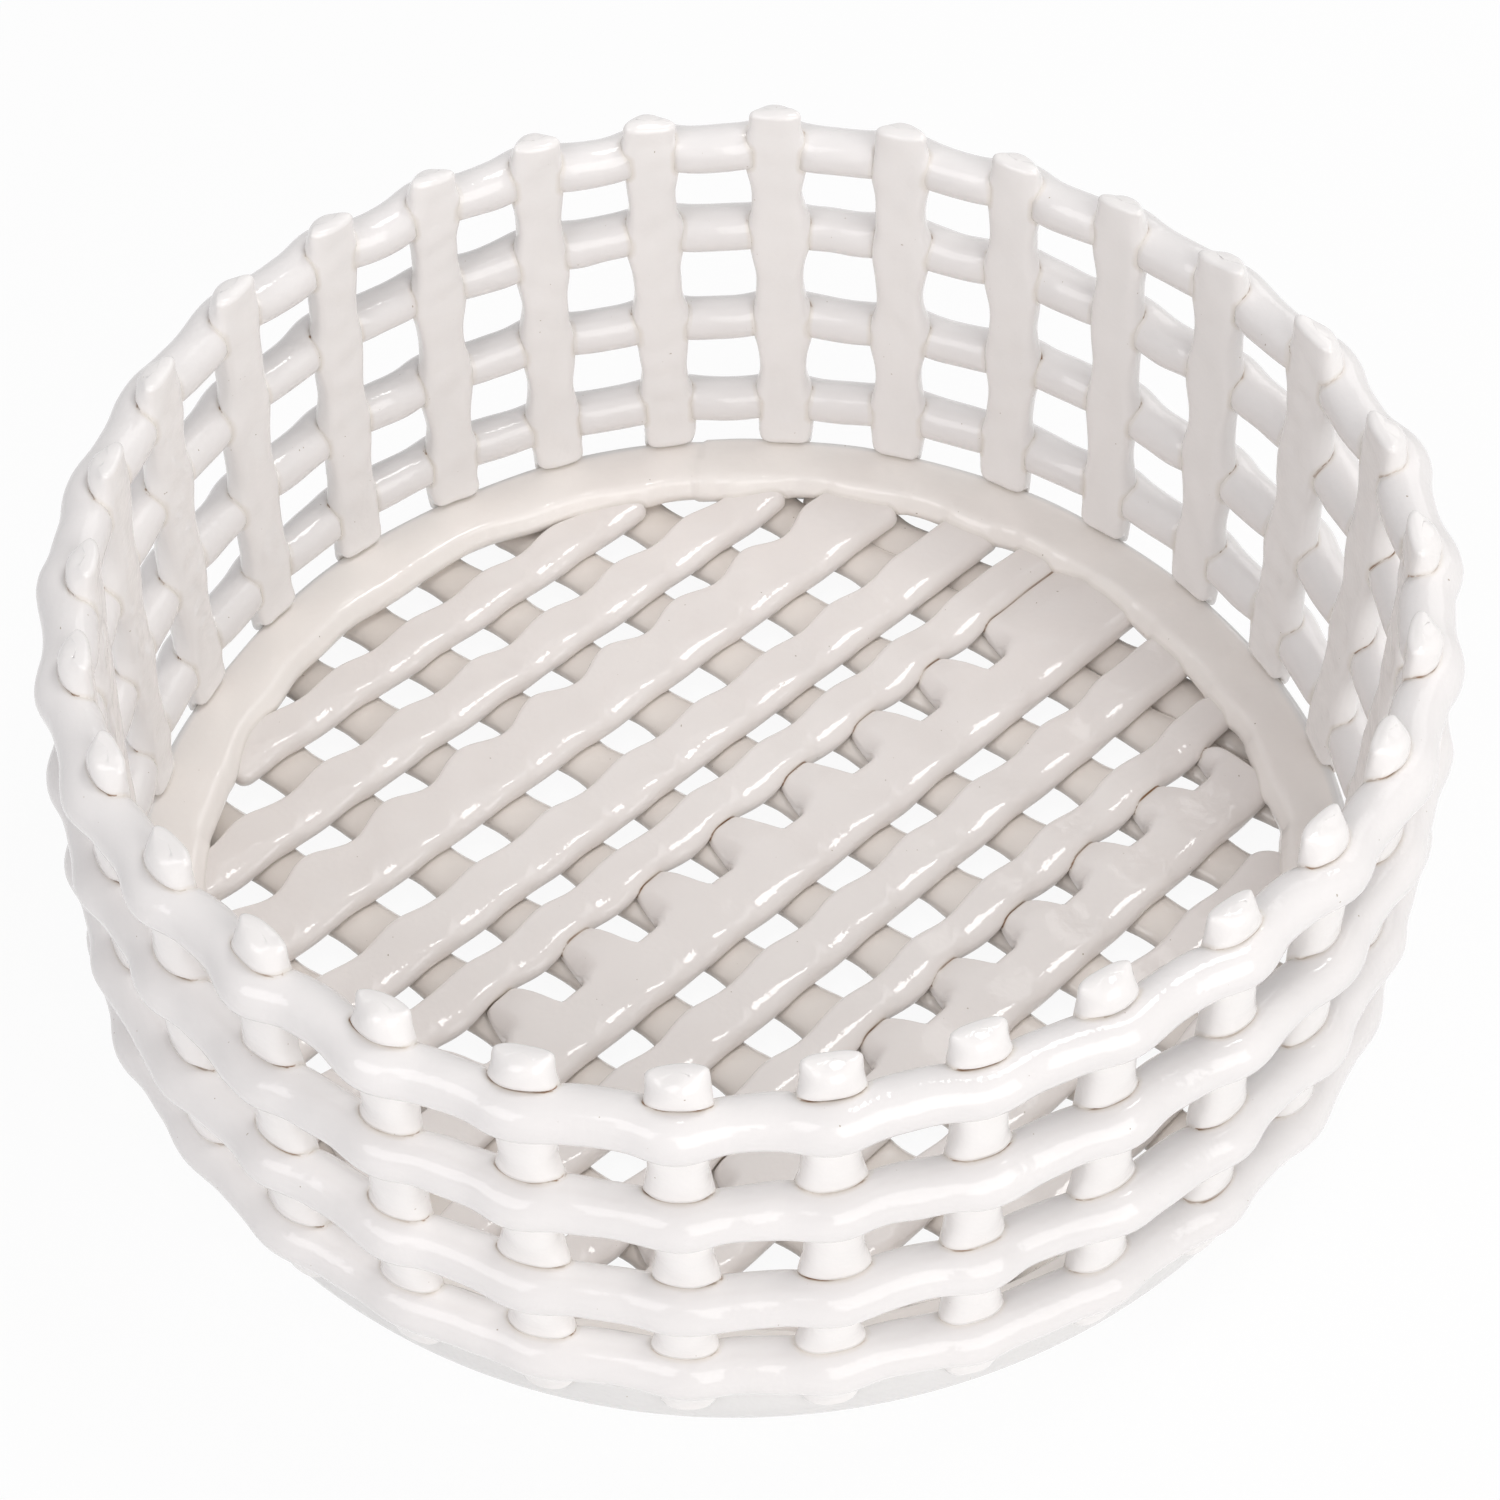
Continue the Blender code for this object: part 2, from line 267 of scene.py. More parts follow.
def loftMesh(name, loops, ring=False, dome=0.0):
    # skins a row of closed loops; a bar gets its ends filled, a ring is closed on itself
    if not ring:
        first = domedCap(loops[0], loops[2], dome)[::-1]
        last = domedCap(loops[-1], loops[-3], dome)
        loops = np.concatenate([first, loops, last])
    rows, around = loops.shape[:2]
    corner = np.arange(rows * around).reshape(rows, around)
    ahead = np.roll(corner, -1, axis=1)
    above = np.roll(corner, -1, axis=0)
    quads = np.stack([corner, ahead, np.roll(above, -1, axis=1), above], -1)
    points = loops.reshape(-1, 3)
    if not ring:
        quads = quads[:-1]
        points = np.vstack([points, loops[0].mean(0), loops[-1].mean(0)])
    faces = quads.reshape(-1, 4).tolist()
    if not ring:
        tip, tail = len(points) - 2, len(points) - 1
        faces += [(int(b), int(a), tip) for a, b in zip(corner[0], ahead[0])]
        faces += [(int(a), int(b), tail) for a, b in zip(corner[-1], ahead[-1])]
    a, b, c = points[quads[..., 0]], points[quads[..., 1]], points[quads[..., 3]]
    middle = loops.mean(1)[: len(a)][:, None]
    if np.einsum("...i,...i", a - middle, np.cross(b - a, c - a)).sum() < 0:  # inside out
        faces = [tuple(reversed(face)) for face in faces]
    mesh = bpy.data.meshes.new(name)
    mesh.from_pydata(points.tolist(), [], faces)
    mesh.validate()
    mesh.shade_smooth()
    return mesh


def meshArrays(mesh):
    points = np.empty(len(mesh.vertices) * 3)
    normals = np.empty(len(mesh.vertices) * 3)
    mesh.vertices.foreach_get("co", points)
    mesh.vertices.foreach_get("normal", normals)
    return points.reshape(-1, 3), normals.reshape(-1, 3)


def storeValues(mesh, name, values):
    # a value at each point that the glaze reads
    mesh.attributes.new(name, "FLOAT", "POINT").data.foreach_set("value", values)


def fingerMarks(mesh, lumps, seed):
    # shallow unevenness left by fingers and glaze, along the surface's own normals
    points, normals = meshArrays(mesh)
    points += normals * uneven(lumps, points, seed)[:, None]
    mesh.vertices.foreach_set("co", points.ravel())
    mesh.update()


def newObject(name, data):
    made = bpy.data.objects.new(name, data)
    bpy.context.scene.collection.objects.link(made)
    return made


pieces = {}


def addPiece(name, mesh, node, glaze):
    # node is the part's piece that this one stands for, or None
    mesh.materials.append(glaze)
    piece = newObject(name, mesh)
    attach(piece, bodyName)
    if node:
        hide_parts(node)
    pieces[name] = piece


glazeLook = {  # shared by all; each piece's tones are in its own dictionary
    "ior": 1.5,
    "cloudSize": 26 * mm,
    "cloudFrom": (0.35, 0.68),  # where toneThin sets in and is full
    # tan near a joint: glaze pooled there, and painted shade where the parts meet
    "poolAndShadeTone": (0.80, 0.755, 0.70),
    "poolAndShadeReach": 0.22,        # share of the distance that a joint is known over
    # dark seam line: pooled glaze in the wall's joints, painted shadow in the slots under the
    # strips' edges
    "seamAndSlotShadeTone": (0.30, 0.17, 0.09),
    "seamReach": 0.10,
    "seamCore": 0.35,         # share of its reach where the seam is darkest
    "seamBreaks": 9 * mm,
    "seamFrom": (0.38, 0.60),
    "seamFaint": 0.18,        # what is left of the seam where it breaks off
    "speckTone": (0.50, 0.43, 0.36),
    "speckSize": 0.8 * mm,
    "speckRarity": 0.885,
    "sheenSize": 9 * mm,
    "sheenFrom": (0.3, 0.7),
    "gloss": (0.03, 0.07),    # roughness, from the glossiest places to the dullest
    "rippleSize": 4.5 * mm,
    "rippleDepth": 0.12 * mm,
    "peelSize": 1.3 * mm,     # fine orange peel that breaks up small highlights
    "peelDepth": 0.045 * mm,
    "pinDepth": 0.06 * mm,
    "pinStrength": 0.6,
}


def makeGlaze(name, tones):
    # white glaze: faint tone changes, tan where it runs thin; tan near joints, partly glaze pooled
    # there and partly painted contact shade; dark seam lines, pooled glaze on the wall's outside
    # and painted shadow in the slots under the strips; pinholes
    look = {**glazeLook, **tones}
    glaze = bpy.data.materials.new(name)
    glaze.use_nodes = True
    nodes, links = glaze.node_tree.nodes, glaze.node_tree.links
    shader = nodes["Principled BSDF"]
    shader.inputs["Metallic"].default_value = 0.0
    shader.inputs["IOR"].default_value = look["ior"]
    place = nodes.new("ShaderNodeTexCoord")

    def stored(attribute):
        node = nodes.new("ShaderNodeAttribute")
        node.attribute_name = attribute
        return node.outputs["Fac"]

    def noise(size, detail, rough=0.5):
        node = nodes.new("ShaderNodeTexNoise")
        node.inputs["Scale"].default_value = 1.0 / size
        node.inputs["Detail"].default_value = detail
        node.inputs["Roughness"].default_value = rough
        links.new(place.outputs["Object"], node.inputs["Vector"])
        return node.outputs["Fac"]

    def ramp(value, places, ends):
        node = nodes.new("ShaderNodeValToRGB")
        for element, at, tone in zip(node.color_ramp.elements, places, ends):
            element.position = at
            element.color = (*tone, 1.0) if isinstance(tone, tuple) else (tone, tone, tone, 1.0)
        links.new(value, node.inputs["Fac"])
        return node.outputs["Color"]

    def times(first, second):
        node = nodes.new("ShaderNodeMath")
        node.operation = "MULTIPLY"
        links.new(first, node.inputs[0])
        links.new(second, node.inputs[1])
        return node.outputs[0]

    def mix(share, first, second):
        node = nodes.new("ShaderNodeMix")
        node.data_type = "RGBA"
        sockets = (("Factor", "VALUE"), ("A", "RGBA"), ("B", "RGBA"))
        for value, (label, kind) in zip((share, first, second), sockets):
            target = next(s for s in node.inputs if s.name == label and s.type == kind)
            if isinstance(value, tuple):
                target.default_value = (*value, 1.0)
            else:
                links.new(value, target)
        return next(s for s in node.outputs if s.type == "RGBA")

    def bump(height, depth, below=None):
        node = nodes.new("ShaderNodeBump")
        node.inputs["Distance"].default_value = depth
        node.inputs["Strength"].default_value = 1.0
        links.new(height, node.inputs["Height"])
        if below:
            links.new(below.outputs["Normal"], node.inputs["Normal"])
        return node

    tone = ramp(noise(look["cloudSize"], 3.0), look["cloudFrom"], (look["tone"], look["toneThin"]))
    # the band's outside in a greyer tone: painted shade
    if "outerShadeTone" in look:
        tone = mix(stored("outer"), tone, look["outerShadeTone"])
    # painted contact shade and pooled glaze: tan close to a neighbouring piece
    pooledAndShaded = ramp(stored("gap"), (0.0, look["poolAndShadeReach"]), (1.0, 0.0))
    # dark seam line that breaks off here and there: pooled glaze on the wall, painted slot shadow
    # on the strips
    broken = ramp(noise(look["seamBreaks"], 1.0), look["seamFrom"], (look["seamFaint"], 1.0))
    seamEnds = (look["seamReach"] * look["seamCore"], look["seamReach"])
    seamedAndShaded = times(ramp(stored("seamAndShade"), seamEnds, (1.0, 0.0)), broken)
    speckEnds = (look["speckRarity"], look["speckRarity"] + 0.02)
    specks = ramp(noise(look["speckSize"], 0.0), speckEnds, (0.0, 1.0))
    for share, other in ((pooledAndShaded, "poolAndShadeTone"), (seamedAndShaded, "seamAndSlotShadeTone"), (specks, "speckTone")):
        tone = mix(share, tone, look[other])
    links.new(tone, shader.inputs["Base Color"])
    sheen = ramp(noise(look["sheenSize"], 2.0), look["sheenFrom"], look["gloss"])
    links.new(sheen, shader.inputs["Roughness"])

    rippled = bump(noise(look["rippleSize"], 2.5, 0.55), look["rippleDepth"])
    peeled = bump(noise(look["peelSize"], 1.0, 0.4), look["peelDepth"], rippled)
    pinholes = bump(specks, look["pinDepth"], peeled)
    pinholes.invert = True
    pinholes.inputs["Strength"].default_value = look["pinStrength"]
    links.new(pinholes.outputs["Normal"], shader.inputs["Normal"])
    return glaze


def makeRow(kind, stem, look, nodes, loopsOf, **skin):
    # a piece for each of the part's nodes, all in one glaze
    glaze = makeGlaze(kind + "Glaze", look["glaze"])
    digits = len(str(len(nodes)))
    for index, node in enumerate(nodes):
        number = str(index + 1).zfill(digits)
        mesh = loftMesh(stem + number, loopsOf(index), **skin)
        fingerMarks(mesh, look["marks"], look["seeds"]["marks"] + index)
        addPiece(f"glazed{kind.title()}{number}", mesh, node, glaze)
    print(f"{kind} pieces shaped:", len(nodes))


stave = {
    "glaze": {"tone": (0.89, 0.865, 0.85), "toneThin": (0.915, 0.89, 0.875)},
    "faceAtRing": 13.9 * mm,  # width where a ring crosses
    "faceBetween": 11.0 * mm,
    "faceAtTop": 12.9 * mm,
    "swellLength": 7.6 * mm,
    "swellGain": (0.7, 1.45),  # how much one side swells, at all its rings
    "swellEach": (0.8, 1.2),  # and at each of them
    "swellOff": 1.0 * mm,     # how far a swelling may miss its ring
    "widthUneven": (0.02, 40 * mm),
    "square": (4.2, 2.4),     # of the inner corners, lower down and at the top
    "roundOutside": 2.15,
    "toSide": 3.3 * mm,       # from the inner face to the widest place
    "deepBetween": 7.8 * mm,  # thickness halfway between two rings
    "deepAtRing": 6.7 * mm,   # just above and below a ring
    "deepKnob": 6.9 * mm,
    "deepFoot": 6.6 * mm,
    "press": 0.25 * mm,       # how far a ring sinks into the clay
    "topRound": (1.3 * mm, 3.1 * mm),  # inner and outer edge of the cut
    "topRounder": 0.8,        # share of the rounder section at the very top
    "topLength": 9 * mm,      # over which it turns rounder and its cut tilts
    "flare": 0.6 * mm,        # each way, where the outside stands on a ring
    "flareLength": 3.8 * mm,
    "taper": 0.30,            # narrowing of the outside above the top ring
    "knobTaper": 0.18,        # more of it there, on all but the inner face
    "footRound": (3.2 * mm, 1.3 * mm),
    "footCorner": 3.0 * mm,
    "footSpread": 0.6 * mm,
    "footDrop": 3.0 * mm,     # outer half that runs down past the base ring's top
    # where these set in and are full, from the inner face at -1 to the outside at 1
    "topOn": (-0.6, 0.9),
    "footOn": (-0.2, 0.6),
    "flareOn": (-0.8, 0.5),
    "knobOn": (-0.9, 0.3),
    "spacing": 1.0 * mm,      # of the rows between foot and cut
    "footRise": 6 * mm,       # height of the foot's own rows, and of the cut's
    "cutRise": 3.6 * mm,
    "footRows": 6,
    "bends": 5,               # rows that round an end over
    "around": 44,
    "cutTilt": 0.06,
    "heights": (-1.0 * mm, 0.1 * mm),  # how much shorter or taller a stave may be cut
    "firstTaller": 0.8 * mm,
    "lean": (0.4 * mm, 0.35 * mm),  # sideways and outward
    "drift": (0.3 * mm, 60 * mm),
    "dome": 0.25 * mm,
    "marks": (0.16 * mm, 9 * mm),
    "seeds": {"shape": 500, "width": 40, "drift": 80, "marks": 700},
}


def staveOutline(squareness):
    # D section from -1 to 1: flat with soft corners inside, rounded outside
    turn = np.linspace(0.0, math.tau, 400, endpoint=False)
    c, s = np.cos(turn), np.sin(turn)
    power = np.where(s > 0, 2.0 / stave["roundOutside"], 2.0 / squareness)
    outline = np.stack([superCurve(c, power), superCurve(s, power)], 1)
    scale = np.array([stave["faceAtRing"] / 2, 4.0 * mm])
    return evenLoop(outline * scale, stave["around"]) / scale


def staveWidths(z, index, random):
    # half widths to the left and to the right, at each height
    grow = (stave["faceAtRing"] - stave["faceBetween"]) / 2
    half = np.full((2, len(z)), stave["faceBetween"] / 2)
    for side in (0, 1):
        gain = random.uniform(*stave["swellGain"])
        for height in ringHeights:
            off = random.normal(0.0, stave["swellOff"])
            swell = gain * random.uniform(*stave["swellEach"])
            half[side] += grow * swell * np.exp(-(((z - height - off) / stave["swellLength"]) ** 2))
    top = smoothStep(ringHeights[0] + 1 * mm, wallTop - 1 * mm, z)
    half = half + (stave["faceAtTop"] / 2 - half) * top
    half *= 1.0 + wobble(stave["widthUneven"], z, stave["seeds"]["width"] + index)
    return half + stave["footSpread"] * smoothStep(baseTop + 9 * mm, baseTop + 2 * mm, z)


def staveDepth(z):
    # thickness at each height: pressed thin by each ring, bulging in between
    deep = np.full(len(z), stave["deepKnob"])
    for upper, lower in zip(ringHeights, ringHeights[1:] + [baseTop - 4 * mm]):
        share = np.clip((z - lower) / (upper - lower), 0.0, 1.0)
        arc = between((stave["deepAtRing"], stave["deepBetween"]), np.sin(math.pi * share))
        deep = np.where((z <= upper) & (z > lower), arc, deep)
    aboveFoot = smoothStep(baseTop - 1 * mm, baseTop + 8 * mm, z)
    deep = np.where(z < ringHeights[-1], between((stave["deepFoot"], deep), aboveFoot), deep)
    for height, shift, outBy in zip(ringHeights, ringClay["shifts"], ringClay["outBy"]):
        rise = np.abs(z - height - shift)
        hollow = np.sqrt(np.clip(ringTube**2 - rise**2, 0.0, None))
        pressed = outBy - np.minimum(hollow, outBy - ringClay["flatAt"]) + stave["press"]
        deep = np.where(rise < ringTube, np.minimum(deep, pressed), deep)
    return deep


def staveSections(z, x, y, index, random):
    # the outline at each height: distances sideways, and from the middle of the basket
    roundX, roundY = staveOutline(stave["square"][1]).T
    half = staveWidths(z, index, random)
    deep = staveDepth(z)[:, None]
    nearTop = smoothStep(wallTop - stave["topLength"], wallTop - 1 * mm, z)[:, None]
    x = x[None] + (roundX - x)[None] * (stave["topRounder"] * nearTop)
    y = y[None] + (roundY - y)[None] * (stave["topRounder"] * nearTop)
    inside = stave["toSide"] * (1.0 + y)
    outside = between((stave["toSide"], deep), y)
    radial = faceRadius(z)[:, None] + np.where(y < 0, inside, outside)
    return np.where(x < 0, half[0][:, None], half[1][:, None]) * x, radial


def outwardFrom(across, radial):
    # which way is out at each point of the outlines
    outline = np.stack([across, radial], -1)
    edge = unit(np.roll(outline, -1, axis=1) - np.roll(outline, 1, axis=1))
    outX, outY = edge[..., 1], -edge[..., 0]
    return (outX, outY) if (outX * across).sum() >= 0 else (-outX, -outY)


def staveSides(across, height, bottom, x, y):
    # rounds the corners of the foot, flares the outside on each ring and tapers the knob
    corner = stave["footCorner"]
    share = np.clip(1.0 - (height - bottom) / corner, 0.0, 1.0)
    across = across - np.sign(x) * np.abs(x) ** 2 * corner * (1.0 - np.sqrt(1.0 - share**2))
    flare = sum(
        np.exp(-(((height - middle - ringTube * 0.9) / stave["flareLength"]) ** 2))
        for middle in ringHeights
    )
    across = across + x * smoothStep(*stave["flareOn"], y) * stave["flare"] * flare
    aboveRing = smoothStep(ringHeights[0] + ringTube, wallTop, height)
    across = across * (1.0 - stave["taper"] * smoothStep(*stave["topOn"], y) * aboveRing)
    knobFrom = ringHeights[0] + 0.4 * ringTube
    knob = np.clip((height - knobFrom) / (wallTop - knobFrom), 0.0, 1.0)
    return across * (1.0 - stave["knobTaper"] * smoothStep(*stave["knobOn"], y) * knob)


def staveLoops(index):
    random = np.random.default_rng(stave["seeds"]["shape"] + index)
    x, y = staveOutline(stave["square"][0]).T
    topRound = between(stave["topRound"], smoothStep(*stave["topOn"], y))
    footRound = between(stave["footRound"], smoothStep(*stave["footOn"], y))
    taller = stave["firstTaller"] if index == 0 else 0.0
    top = wallTop + random.uniform(*stave["heights"]) + taller
    bends, footTop = stave["bends"], baseTop + stave["footRise"]

    # rows of heights, from the foot up
    low = np.linspace(0.0, 1.0, stave["footRows"], endpoint=False)
    body = np.arange(footTop, top - stave["cutRise"], stave["spacing"])
    foot, cut = np.full(bends, baseTop), np.full(bends + 1, top - 1.0 * mm)
    z = np.concatenate([foot, baseTop + low * stave["footRise"], body, cut])
    across, radial = staveSections(z, x, y, index, random)
    outX, outY = outwardFrom(across, radial)

    # the ends round over: how high each point of the outline is, and how far it is drawn in
    past = smoothStep(baseRadius - 1.0 * mm, baseRadius + 0.6 * mm, radial[bends])
    bottom = baseTop + 0.1 * mm - stave["footDrop"] * past
    height = np.repeat(z[:, None], len(x), axis=1)
    inset = np.zeros_like(height)
    for row, share in enumerate(low):
        height[bends + row] = between((bottom + footRound, footTop), share)
    height[-bends - 1] = top - topRound
    for row, turn in enumerate(np.linspace(0.0, math.pi / 2, bends + 1)[1:]):
        down, drawn = 1.0 - math.sin(turn), 1.0 - math.cos(turn)
        height[bends - 1 - row] = bottom + footRound * down
        inset[bends - 1 - row] = footRound * drawn
        height[row - bends] = top - topRound * down
        inset[row - bends] = topRound * drawn
    radial = radial - outY * inset
    across = staveSides(across - outX * inset, height, bottom, x, y)

    # set by hand: the cut tilts, the stave leans and drifts
    tilt = random.normal(0.0, stave["cutTilt"], 2)
    nearTop = smoothStep(wallTop - stave["topLength"], wallTop, height)
    height = height + nearTop * (tilt[0] * across + tilt[1] * (radial - radial.mean()))
    lean = random.normal(0.0, stave["lean"][0]) * (height - baseTop) / (wallTop - baseTop)
    drift = wobble(stave["drift"], height[:, 0], stave["seeds"]["drift"] + index)[:, None] + lean
    radial = radial + random.normal(0.0, stave["lean"][1]) * (height / wallTop)
    across = across + drift
    c, s = math.cos(staveAngles[index]), math.sin(staveAngles[index])
    return handBent(np.stack([radial * c - across * s, radial * s + across * c, height], -1))


ringClay = {  # lists run from the top ring to the lowest
    "glaze": {"tone": (0.84, 0.815, 0.805), "toneThin": (0.865, 0.84, 0.83)},
    "outBy": [7.1 * mm, 7.7 * mm, 7.5 * mm, 6.4 * mm],     # middle of the clay from the inner face
    "fallBack": [2.5 * mm, 1.9 * mm, 1.9 * mm, 1.6 * mm],  # from beside a stave to between two
    "shifts": [0.1 * mm, 0.8 * mm, -0.7 * mm, 0.0],        # uneven heights
    "crestLength": 6.6 * mm,
    "flatAt": 4.4 * mm,       # where it is pressed flat on a stave, from the inner face
    "flatLength": (7.2 * mm, 5.4 * mm),
    "perWave": 22,
    "around": 28,
    "fallUneven": (0.28, 70 * mm),
    "outUneven": (0.3 * mm, 45 * mm),
    "sagUneven": (0.45 * mm, 55 * mm),
    "rollUneven": (0.035, 35 * mm),
    "marks": (0.14 * mm, 12 * mm),
    "seeds": {"fall": 20, "out": 30, "sag": 40, "roll": 50, "marks": 60},
}


def ringLoops(index):
    count = len(staveNodes) * ringClay["perWave"]
    angle = staveAngles[0] + np.arange(count) * math.tau / count
    places = roundAbout(baseRadius, angle, 0.7 * index * baseRadius)

    def stray(name):
        return uneven(ringClay[name + "Uneven"], places, ringClay["seeds"][name] + index)

    # the line: out past every stave, falling back in between, sagging a little
    height = ringHeights[index] + ringClay["shifts"][index]
    crest = faceRadius(height) + ringClay["outBy"][index]
    turned = (angle - staveAngles[0]) / staveStep
    beside = np.abs(turned - np.round(turned)) * staveStep * crest
    depth = ringClay["fallBack"][index] * (1.0 + stray("fall"))
    radius = crest - depth * (1.0 - np.exp(-((beside / ringClay["crestLength"]) ** 2)))
    radius += stray("out")
    height = height + stray("sag")
    tube = ringTube * (1.0 + stray("roll"))
    middle = roundAbout(radius, angle, height)

    # a round section set square to the line, flat where it is pressed on a stave
    ahead = unit(np.roll(middle, -1, axis=0) - np.roll(middle, 1, axis=0))
    side = unit(np.cross(ahead, np.array([0.0, 0.0, 1.0])))
    over = np.cross(side, ahead)
    turn = np.linspace(0.0, math.tau, ringClay["around"], endpoint=False)
    near = smoothStep(*ringClay["flatLength"], beside)
    deepest = tube + (ringClay["outBy"][index] - ringClay["flatAt"] - tube) * near
    outward = np.maximum(np.cos(turn)[None] * tube[:, None], -deepest[:, None])
    upward = np.sin(turn)[None] * tube[:, None]
    loops = middle[:, None] + side[:, None] * outward[..., None] + over[:, None] * upward[..., None]
    return handBent(loops)


base = {
    # the top's tone is paler and the outside's greyer: painted light on the top, painted shade on
    # the outside
    "glaze": {
        "tone": (0.955, 0.905, 0.865), "toneThin": (0.96, 0.92, 0.88),
        "outerShadeTone": (0.79, 0.78, 0.77),
    },
    "outerFrom": (2.5 * mm, 0.5 * mm),  # in from the rim, where the greyer outer tone, painted shade, sets in and is full
    "lipWidth": 15.6 * mm,
    "bevel": (2.6 * mm, 3.2 * mm),  # width and depth of the slope down to the floor
    "innerWave": 0.8 * mm,
    "innerSizes": (22 * mm, 70 * mm),
    "outerWave": (0.7 * mm, 60 * mm),
    "topWave": (0.2 * mm, 30 * mm),
    "overStrip": 0.7 * mm,    # rise of the inner edge where it lies on a strip
    "backStrip": 0.7 * mm,    # and how far it is pushed back there
    "stripShare": 0.4,        # of the inner edge that lies on strips
    "buttAngle": 94.0,        # degrees, where the two ends of the band meet
    "buttCurve": 1.5 * mm,
    "lap": (0.55 * mm, 0.9 * mm),  # the upper end's rise, and its reach over the floor
    "lapSinks": (6 * mm, 26 * mm),  # from the joint, where it begins and ends to sink back
    "groove": (0.45 * mm, 0.5 * mm),  # depth and width of the joint itself
    "grooveAt": 0.7 * mm,
    "steps": 720,
    "around": 64,
    "seeds": {"inner": (91, 93), "top": 92, "outer": 95},
}


def stripCover(x, y):
    # 1 where a floor strip passes below, 0 between strips
    cover, soft = np.zeros(np.shape(x)), 1.5 * mm
    for (middle, direction, _), width, shift in zip(stripLines, strip["tops"], strip["shifts"]):
        across = -(x - middle[0]) * direction[1] + (y - middle[1]) * direction[0]
        fromMiddle = np.abs(across - shift - width / 2)
        covered = smoothStep(width / 2 + soft, width / 2 - soft, fromMiddle)
        cover = np.maximum(cover, covered)
    return cover


def baseOutline():
    # section of the band, from its inner edge over the top and round underneath
    r, lip = baseRadius, base["lipWidth"]
    slope, drop = base["bevel"]
    corners = np.array([
        (r - lip - 0.1 * mm, baseTop - drop - 1.6 * mm),  # inner edge
        (r - lip + 0.1 * mm, baseTop - drop - 0.2 * mm),
        (r - lip + 0.9 * mm, baseTop - drop + 0.9 * mm),
        (r - lip + slope - 0.6 * mm, baseTop - 0.35 * mm),
        (r - lip + slope + 0.6 * mm, baseTop),            # top, a little domed
        (r - lip + slope + 3.0 * mm, baseTop + 0.15 * mm),
        (r - lip * 0.4, baseTop + 0.25 * mm),
        (r - 1.8 * mm, baseTop + 0.25 * mm),
        (r - 0.5 * mm, baseTop + 0.15 * mm),
        (r + 0.1 * mm, baseTop - 0.7 * mm),               # outside
        (r + 0.1 * mm, baseTop - 2.0 * mm),
        (r + 0.1 * mm, baseTop - 5 * mm),
        (r - 0.2 * mm, 5.4 * mm),
        (r - 1.6 * mm, 2.8 * mm),
        (r - 4.4 * mm, 0.0),                              # where it stands
        (r - 6.6 * mm, 0.0),
        (r - 7.2 * mm, 3.0 * mm),                         # underside
        (r - lip + 3.2 * mm, 7.4 * mm),
        (r - lip + 0.6 * mm, 8.6 * mm),
    ])
    return evenLoop(cutCorners(corners, 2), base["around"])


def baseLoops():
    r, lip, seeds = baseRadius, base["lipWidth"], base["seeds"]
    outline = baseOutline()
    angle = np.arange(base["steps"]) * math.tau / base["steps"]
    places = roundAbout(r, angle, 0.0)
    inner = smoothStep(r - lip * 0.55, r - lip, outline[:, 0])[None]
    outside = smoothStep(r - lip * 0.4, r, outline[:, 0])[None]
    upper = smoothStep(baseTop - 6 * mm, baseTop - 1 * mm, outline[:, 1])[None]
    cover = stripCover(*(places[:, :2] * (r - lip) / r).T)[:, None]
    waves = zip(base["innerSizes"], seeds["inner"])
    shift = base["innerWave"] * sum(softNoise(places, size, seed) for size, seed in waves)[:, None]
    radius = outline[None, :, 0] + inner * (shift - base["backStrip"] * cover)
    radius = radius + outside * upper * uneven(base["outerWave"], places, seeds["outer"])[:, None]
    height = outline[None, :, 1] + inner * upper * base["overStrip"] * (cover - base["stripShare"])
    height = height + upper * uneven(base["topWave"], places, seeds["top"])[:, None]

    # one end of the band lies a little over the other
    butt = math.radians(base["buttAngle"])
    away = ((butt - angle + math.pi) % math.tau - math.pi) * r   # clockwise from the joint
    bend = away[:, None] - base["buttCurve"] * np.cos((outline[None, :, 0] - r) / lip * math.pi)
    lapped = smoothStep(-0.5 * mm, 0.5 * mm, bend) * (1.0 - smoothStep(*base["lapSinks"], bend))
    grooveDepth, grooveWidth = base["groove"]
    groove = np.exp(-(((bend + base["grooveAt"]) / grooveWidth) ** 2))
    height = height + upper * (base["lap"][0] * lapped - grooveDepth * groove)
    radius = radius - inner * base["lap"][1] * lapped
    return handBent(roundAbout(radius, angle[:, None], np.maximum(height, 0.0)))


def makeBase():
    glaze = makeGlaze("baseGlaze", base["glaze"])
    mesh = loftMesh("baseRing", baseLoops(), ring=True)
    points = meshArrays(mesh)[0]
    # share of the band's outside that takes the painted shade
    start, full = (baseRadius - inset for inset in base["outerFrom"])
    outer = smoothStep(start, full, np.hypot(points[:, 0], points[:, 1]))
    storeValues(mesh, "outer", outer)
    addPiece("glazedBase", mesh, "base_ring", glaze)
    print("base ring shaped")


def crossings(line, others):
    # where other bars cross this one, as distances from its middle
    middle, direction = line[:2]
    found = []
    for otherMiddle, otherDirection, _ in others:
        gap = otherMiddle - middle
        turn = direction[0] * otherDirection[1] - direction[1] * otherDirection[0]
        found.append((gap[0] * otherDirection[1] - gap[1] * otherDirection[0]) / turn)
    return np.sort(found)


def phase(distance, marks):
    # counts along a bar in steps from one crossing to the next
    pitch = np.diff(marks).mean()
    reach = np.concatenate([[marks[0] - 9 * pitch], marks, [marks[-1] + 9 * pitch]])
    count = np.concatenate([[-9.0], np.arange(len(marks)), [len(marks) + 8.0]])
    return np.interp(distance, reach, count)


def layAlong(middle, direction, s, across, z):
    # sections set along a straight bar that lies flat
    x = middle[0] + s[:, None] * direction[0] - across * direction[1]
    y = middle[1] + s[:, None] * direction[1] + across * direction[0]
    return np.stack([x, y, z], -1)


